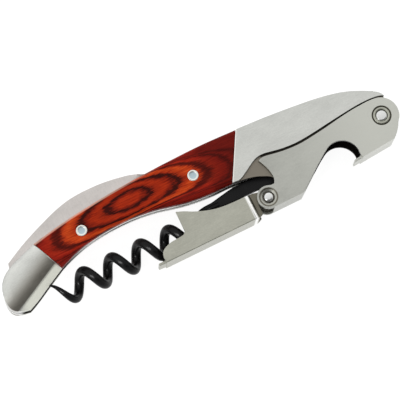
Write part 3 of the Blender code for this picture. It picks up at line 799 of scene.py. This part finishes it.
def make_pins():
    face = HALF_THICKNESS - 0.05
    tubular = [(0.0, face - 0.14), (0.8, face - 0.13), (1.02, face - 0.09), (1.16, face - 0.02),
               (1.26, face), (1.42, face), (1.56, face - 0.05), (SCALE_PIN_R, face - 0.16)]
    for name, centre in (("scale_pin_head", HEAD_SCALE_PIN), ("scale_pin_tail", TAIL_SCALE_PIN)):
        pin = turned(name + "_fine", mirrored(tubular), centre)
        finish_piece(pin, "handle", name, pin_steel, sharp=60, flats=False)
    bush = [(BUSH_BORE_R, LEVER_OUT - 0.1), (BUSH_BORE_R + 0.1, LEVER_OUT), (BUSH_R - 0.22, LEVER_OUT),
            (BUSH_R - 0.06, LEVER_OUT - 0.08), (BUSH_R, LEVER_OUT - 0.25)]
    piece = turned("lever_pivot_bush_fine", mirrored(bush), LEVER_PIVOT)
    finish_piece(piece, "handle", "lever_pivot_bush", bush_steel, sharp=50, flats=False)
    top = LEVER_OUT - 0.2
    rivet = [(0.0, top), (1.1, top - 0.02), (1.42, top - 0.08), (1.58, top - 0.2), (1.66, top - 0.5)]
    piece = turned("lever_pivot_rivet_fine", mirrored(rivet), LEVER_PIVOT)
    finish_piece(piece, "handle", "lever_pivot_rivet", bright_steel, sharp=60, flats=False)
    seat = LEVER_OUT - 0.45
    end = LEVER_OUT + 0.12
    head = [(0.0, end), (0.6, end - 0.02), (1.05, end - 0.10), (1.33, end - 0.26),
            (HINGE_HEAD_R, end - 0.5), (HINGE_HEAD_R, seat), (HINGE_SHAFT_R, seat)]
    piece = turned("hinge_rivet_fine", mirrored(head), MID_HINGE)
    finish_piece(piece, "upper_lever", "hinge_rivet", bright_steel, sharp=50, flats=False)


# ---------------------------------------------------------------- the levers

def make_upper_lever():
    lobe = arc(MID_HINGE, 3.3, 262, 98, 8)
    notch = arc(NOTCH_CENTRE, NOTCH_R, -10, 128, 8)
    round_end = arc((-0.15, 0.05), 5.2, 84, -44, 8)
    outline = ([(-37.0, 3.75, C), (-35.8, 4.15), (-34.0, 4.0), (-31.0, 3.45), (-27.5, 3.05), (-24.0, 2.98),
                (-20.0, 3.35), (-15.0, 4.0), (-10.0, 4.75), (-5.0, 5.25)] + round_end
               + [(2.75, -4.9), (1.7, -6.2), (0.3, -7.5, C), (-10.05, -8.3, C)] + notch
               + [(-20.9, -3.6), (-29.6, -10.0, C), (-38.9, -10.0, C)] + lobe
               + [(-38.2, -3.55), (-36.9, -3.95), (-35.95, -4.0, C), (-35.45, -3.0), (-35.3, -1.6),
                  (-35.6, 0.2), (-36.15, 1.9)])
    lever = flat_solid("upper_lever_fine", [outline], -LEVER_OUT, LEVER_OUT)
    for side in (1, -1):
        round_rim(lever, side, 0.9, 6, lambda x, y: y < -9.95 or (y < -7.55 and x > -9.9))
    inside = [(-50.0, 12.0, C), (-50.0, -14.0, C), (-38.7, -14.0, C), (-38.7, -9.0, C), (-27.5, -9.0, C),
              (-27.5, -14.0, C), (-12.0, -14.0, C), (-12.0, -7.45, C), (8.0, -5.98, C), (8.0, 12.0, C)]
    inner = LEVER_OUT - SHEET
    carve(lever, flat_solid("upper_lever_inside", [inside], -inner, inner))
    tooth = [(-12.4, -8.42, C), (-9.3, -8.18, C), (-9.3, -7.35, C), (-12.3, -7.75, C)]
    carve(lever, flat_solid("opener_tooth", [tooth], -3.9, 3.9), "UNION")
    bores = [ring(LEVER_PIVOT, BUSH_R + FIT + 0.04), ring(MID_HINGE, HINGE_SHAFT_R + FIT)]
    carve(lever, flat_solid("lever_bores", bores, -8, 8))
    face = LEVER_OUT
    dish = [(1.45, face + 0.5), (3.0, face + 0.5), (2.75, face), (2.45, face - 0.22), (1.95, face - 0.3),
            (1.57, face - 0.5), (1.45, face - 0.5)]
    chamfer = [(2.3, face + 0.5), (2.95, face + 0.5), (2.76, face), (2.6, face - 0.28), (2.3, face - 0.28)]
    for side in (1, -1):
        carve(lever, turned("hinge_dish", facing(dish, side), MID_HINGE))
        carve(lever, turned("eye_chamfer", facing(chamfer, side), LEVER_PIVOT))
    finish_piece(lever, "upper_lever", "upper_lever", lever_steel, 0.13)


def make_lower_lever():
    boss = arc(MID_HINGE, 2.15, 95, -170, 9)
    outline = ([(-64.4, 1.0, C), (-62.0, 0.0), (-60.0, -1.05), (-57.5, -2.1), (-55.0, -2.9), (-52.5, -3.4),
                (-49.5, -3.65), (-46.0, -3.75), (-42.6, -3.75, C)] + boss
               + [(-42.45, -7.2, C), (-42.5, -10.3, C), (-43.7, -10.85, C), (-72.9, -10.85, C),
                  (-72.85, -8.3), (-71.8, -7.05), (-65.3, -5.8, C), (-64.5, -5.1, C)])
    lever = flat_solid("lower_lever_fine", [outline], -LEVER_OUT, LEVER_OUT)
    for side in (1, -1):
        round_rim(lever, side, 0.9, 6, lambda x, y: y < -10.8)
    ear_out = LEVER_OUT - JOGGLE
    for side in (1, -1):
        shave = [(-45.0, side * (LEVER_OUT + 0.001), C), (-44.5, side * (LEVER_OUT - 0.12)),
                 (-44.0, side * (LEVER_OUT - 0.55)), (-43.6, side * (ear_out + 0.12)),
                 (-43.15, side * ear_out, C), (-30.0, side * ear_out, C), (-30.0, side * 8, C),
                 (-45.0, side * 8, C)]
        carve(lever, side_solid("joggle_shave", shave, -16.0, 6.0))
    inner = LEVER_OUT - SHEET
    ear_in = ear_out - SHEET
    inside = [(-80.0, -inner, C), (-45.3, -inner, C), (-43.6, -ear_in, C), (-30.0, -ear_in, C),
              (-30.0, ear_in, C), (-43.6, ear_in, C), (-45.3, inner, C), (-80.0, inner, C)]
    carve(lever, side_solid("lower_lever_inside", inside, -9.85, 6.0))
    gap_under_ears = [(-43.7, -14.0, C), (-30.0, -14.0, C), (-30.0, -9.0, C), (-43.7, -9.0, C)]
    carve(lever, flat_solid("between_ears", [gap_under_ears], 0.02 - ear_in, ear_in - 0.02))
    back_of_boot = [(-70.0, 4.0, C), (-70.0, -5.15, C), (-63.4, -5.15, C), (-63.4, 4.0, C)]
    carve(lever, flat_solid("rear_corner", [back_of_boot], -8.0, -4.0))
    lip = [(-75.0, -10.6, C), (-72.0, -10.7, C), (-72.0, -9.9, C), (-75.0, -9.85, C)]
    carve(lever, flat_solid("boot_lip", [lip], -3.9, 3.9), "UNION")
    carve(lever, flat_solid("ear_hole", [ring(MID_HINGE, HINGE_SHAFT_R + FIT)], -8, 8))
    finish_piece(lever, "lower_lever", "lower_lever", boot_steel, 0.12)


# ---------------------------------------------------------------- worm and knife

def worm_point(x):
    """Centre and radius of the wire at station x: a right-handed helix that runs out into the shank."""
    turn = 2 * math.pi / WORM_PITCH
    if x < SHANK_START_X:
        angle = turn * (x + 0.16 * max(OPEN_START_X - x, 0.0) - FIRST_TOP_X)
    else:
        left = SHANK_END_X - 2.0 - SHANK_START_X
        part = min((x - SHANK_START_X) / left, 1.0)
        angle = turn * (SHANK_START_X - FIRST_TOP_X) + math.pi * (2 * part - part * part)
    into_worm = min((x - WORM_TIP_X) / (0.9 * WORM_PITCH), 1.0)
    radius = 0.12 + (WIRE_R - 0.12) * math.sin(into_worm * math.pi / 2)
    reach = WORM_R + 0.25 * (1 - into_worm)
    return (x, WORM_AXIS_Y + reach * math.cos(angle), reach * math.sin(angle)), radius


def make_worm():
    steps = 420
    curve = bpy.data.curves.new("worm", "CURVE")
    curve.dimensions = "3D"
    curve.bevel_depth = WIRE_R * MM
    curve.bevel_resolution = 8
    curve.use_fill_caps = True
    spline = curve.splines.new("POLY")
    spline.points.add(steps)
    for i, point in enumerate(spline.points):
        centre, radius = worm_point(WORM_TIP_X + (SHANK_END_X - WORM_TIP_X) * i / steps)
        point.co = (*in_row_frame(*centre), 1.0)
        point.radius = radius / WIRE_R
    mesh = mesh_of_curve(curve)
    shank = ([(-57.4, -1.2, C), (-53.0, -0.4), (-50.0, 0.15), (-46.5, 0.65), (-42.0, 0.55), (-38.5, 0.0),
              (-35.6, -0.35)] + arc(WORM_PIVOT, 3.0, 105, -100, 9)
             + [(-35.0, -4.1), (-39.0, -3.1), (-43.0, -2.95), (-48.0, -3.0), (-54.0, -2.35)])
    flat = flat_solid("worm_shank", [shank], -1.22, 1.22)
    for side in (1, -1):
        round_rim(flat, side, 0.7, 5, lambda x, y: True)
    carve(flat, flat_solid("worm_eye", [ring(WORM_PIVOT, WORM_PIN_R + FIT)], -8, 8))
    with editing(mesh) as work:
        work.from_mesh(flat.data)
        bmesh.ops.remove_doubles(work, verts=work.verts, dist=1e-6)
    bpy.data.objects.remove(flat, do_unlink=True)
    finish_piece(link("worm_fine", mesh), "worm", "worm", worm_black, sharp=50, flats=False)


def grind_wedge(line, side, width, thin):
    """The wedge that is ground off one side of the blade, width mm wide, to leave thin mm at the edge."""
    clear = 2.5
    mesh = bpy.data.meshes.new("grind")
    with editing(mesh) as work:
        sections = []
        for i, point in enumerate(line):
            ahead = line[min(i + 1, len(line) - 1)] - line[max(i - 1, 0)]
            out = Vector((ahead.y, -ahead.x)).normalized()
            edge = point + out * 0.6
            back = point - out * width
            section = [(edge, thin), (edge, clear), (back, clear), (back, BLADE_HALF + 0.02)]
            sections.append([work.verts.new(in_row_frame(p.x, p.y, side * z)) for p, z in section])
        for first, second in zip(sections, sections[1:]):
            for k in range(4):
                m = (k + 1) % 4
                work.faces.new((first[k], first[m], second[m], second[k]))
        work.faces.new(sections[0])
        work.faces.new(reversed(sections[-1]))
    return link("grind", mesh)


def make_knife():
    outline = [(-112.6, 9.2, C), (-113.3, 6.2), (-113.3, 3.0), (-111.8, 0.6), (-109.3, -0.3), (-106.5, 0.7),
               (-104.9, 3.6, C), (-103.2, 5.2), (-98.0, 8.6), (-92.0, 10.2), (-86.0, 10.9), (-80.0, 11.7),
               (-74.0, 12.9), (-69.5, 14.3), (-66.6, 15.1, C), (-70.4, 16.6), (-74.5, 17.5), (-78.2, 18.05),
               (-82.0, 18.3), (-88.0, 18.15), (-92.3, 17.4), (-99.5, 15.05), (-106.9, 12.05)]
    blade = flat_solid("knife_blade_fine", [outline], -BLADE_HALF, BLADE_HALF)
    for side in (1, -1):
        round_rim(blade, side, 0.25, 3, lambda x, y: y > 15.4 or (x < -90 and y > 12))
    line = smooth_line(GRIND_LINE, 6)
    for side in (1, -1):
        carve(blade, grind_wedge(line, side, 1.5, 0.12))
    carve(blade, flat_solid("blade_bore", [ring(KNIFE_PIVOT, KNIFE_PIN_R + FIT)], -3, 3))
    finish_piece(blade, "knife", "knife_blade", blade_steel, 0.06)


def dress_hidden_nodes():
    """CAD nodes that stay as they are take a finish from the same steels."""
    washers = ("front_lever_washer", "rear_lever_washer", "front_knife_washer", "rear_knife_washer",
               "hinge_spacer")
    pins = ("bolster_pin_head", "bolster_pin_mid", "worm_pivot_pin", "knife_pivot_pin")
    for names, finish in ((washers, washer_steel), (pins, bright_steel)):
        for name in names:
            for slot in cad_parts[name].material_slots:
                slot.material = finish


# ---------------------------------------------------------------- studio

def make_floor():
    mesh = bpy.data.meshes.new("floor")
    half = 1.6
    mesh.from_pydata([(-half, -half, 0), (half, -half, 0), (half, half, 0), (-half, half, 0)], [],
                     [(0, 1, 2, 3)])
    floor = link("floor", mesh)
    recipe = Recipe("pale_floor")
    recipe.paint("Roughness", recipe.spread(recipe.noise((40.0, 40.0, 40.0)), 0.0, 1.0, 0.30, 0.50))
    recipe.paint("Base Color", (0.20, 0.20, 0.20, 1.0))
    recipe.paint("Specular IOR Level", 0.0)
    recipe.paint("Emission Color", (1.0, 1.0, 1.0, 1.0))
    recipe.paint("Emission Strength", 0.92)
    mesh.materials.append(recipe.material)


def make_world():
    """A bright studio, lighter on the spine side, with one long dark flag hung over the belly side."""
    world = bpy.data.worlds.new("studio")
    bpy.context.scene.world = world
    world.use_nodes = True
    nodes = Nodes(world.node_tree)
    way = nodes.add("ShaderNodeTexCoord").outputs["Generated"]
    x, y, z = nodes.add("ShaderNodeSeparateXYZ", {0: way}).outputs
    belly_side = nodes.smooth(y, -FLAG_NEAR, -FLAG_FULL)
    overhead = nodes.smooth(z, 0.60, 0.72)
    middle = nodes.smooth(nodes.maths("ABSOLUTE", x), 0.72, 0.50)
    flag = nodes.maths("MULTIPLY", nodes.maths("MULTIPLY", belly_side, overhead),
                       nodes.maths("MULTIPLY", middle, FLAG_DEPTH))
    light = nodes.maths("MULTIPLY", nodes.maths("MULTIPLY_ADD", y, 0.30, 1.0),
                        nodes.maths("SUBTRACT", 1.0, flag))
    background = nodes.tree.nodes["Background"]
    nodes.feed(background.inputs["Strength"], light)
    nodes.feed(background.inputs["Color"], (1.0, 1.0, 0.99, 1.0))


def add_softbox(name, place, aim, size, power):
    data = bpy.data.lights.new(name, "AREA")
    data.shape = "RECTANGLE"
    data.size, data.size_y = size
    data.energy = power
    light = link(name, data)
    light.location = place
    light.rotation_euler = (Vector(place) - Vector(aim)).to_track_quat("Z", "Y").to_euler()
    return light


def add_worm_light():
    """A small hard light on the worm alone, for the streaks of light along its gloss coat."""
    light = add_softbox("worm_light", (-0.60, -0.08, 0.78), (-0.02, -0.01, 0.006), (0.16, 0.75), 12.0)
    lit = bpy.data.collections.new("lit_by_worm_light")
    lit.objects.link(bpy.data.objects["worm_fine"])
    light.light_linking.receiver_collection = lit


def make_camera():
    """A long lens almost straight above the tool, turned so that the head points up to the right."""
    data = bpy.data.cameras.new("camera")
    data.lens = 300.0
    data.sensor_width = 36.0
    data.clip_end = 10.0
    camera = link("camera", data)
    toward = Vector((-0.10, -0.135, 1.0)).normalized()
    slant = math.radians(26.5)
    up = Vector((math.sin(slant), math.cos(slant), 0.0))
    right = up.cross(toward).normalized()
    up = toward.cross(right)
    target = Vector((-0.00024, -0.00278, 0.01185))
    distance = 0.934
    turn = Matrix((right, up, toward)).transposed().to_4x4()
    camera.matrix_world = Matrix.Translation(target + toward * distance) @ turn
    bpy.context.scene.camera = camera


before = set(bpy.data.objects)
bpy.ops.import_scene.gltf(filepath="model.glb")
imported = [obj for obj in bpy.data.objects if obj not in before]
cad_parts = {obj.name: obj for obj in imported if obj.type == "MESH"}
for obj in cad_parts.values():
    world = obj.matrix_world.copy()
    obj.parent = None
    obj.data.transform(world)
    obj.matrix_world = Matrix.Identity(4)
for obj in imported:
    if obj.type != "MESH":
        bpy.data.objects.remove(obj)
cad_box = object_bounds()

satin_steel = steel("satin_steel", (198, 199, 195), 0.34, 0.30,
                    tints=[((126, 120, 110), shaded_tongue), ((54, 50, 45), shaded_gap_by_lever),
                           ((40, 37, 33), under_tongue), ((244, 241, 236), head_seam_highlight),
                           ((236, 237, 226), bevel_highlight_on_tail), ((140, 134, 123), tail_shadow),
                           ((246, 244, 238), tail_seam_highlight)])
# The lever's round tints are painted shade: a ring round the pivot's eye and rings in the hinge's dish
lever_steel = steel("lever_steel", (170, 171, 165), 0.36, 0.34,
                    tints=[((194, 195, 188), lit_towards_pivot), ((92, 90, 82), within(LEVER_PIVOT, 2.78, 0.1)),
                           ((104, 101, 92), within(MID_HINGE, 2.6, 0.25)),
                           ((168, 168, 160), within(MID_HINGE, 2.2, 0.15)),
                           ((84, 81, 74), within(MID_HINGE, 1.62, 0.1))],
                    painted_shade=notch_shade)
boot_steel = steel("boot_steel", (170, 170, 159), 0.36, 0.34,
                   tints=[((250, 250, 248), joggle_crest_highlight), ((110, 107, 96), shaded_ears)])
liner_steel = steel("liner_steel", (242, 242, 239), 0.40, 0.14, tints=[((58, 57, 50), shaded_liner_edges)])
washer_steel = steel("washer_steel", (190, 190, 184), 0.36, 0.20)
spring_steel = steel("spring_steel", (236, 236, 232), 0.40, 0.14)
bright_steel = steel("bright_steel", (214, 215, 214), 0.24, 0.12, (0.5, 0.5, 0.5))
bush_steel = steel("bush_steel", (168, 169, 158), 0.30, 0.20, (0.5, 0.5, 0.5))
pin_steel = steel("pin_steel", (230, 229, 222), 0.38, 0.10, (0.5, 0.5, 0.5),
                  tints=[((176, 194, 201), within(HEAD_SCALE_PIN, 0.95, 0.2)),
                         ((176, 194, 201), within(TAIL_SCALE_PIN, 0.95, 0.2))])
blade_steel = steel("blade_steel", (200, 195, 192), 0.34, 0.26, (0.16, 3.0, 0.16))
worm_black = coated_black()
wood = pakka_wood()

make_head_bolsters()
make_scales()
make_tail_bolsters()
make_liners()
make_inner_pieces()
make_pins()
make_upper_lever()
make_lower_lever()
make_worm()
make_knife()
dress_hidden_nodes()

make_floor()
make_world()
add_softbox("key", (-0.55, -0.22, 0.80), (0.0, 0.0, 0.0), (0.12, 0.12), 0.8)
add_worm_light()
make_camera()
bpy.context.scene.view_settings.view_transform = "Standard"
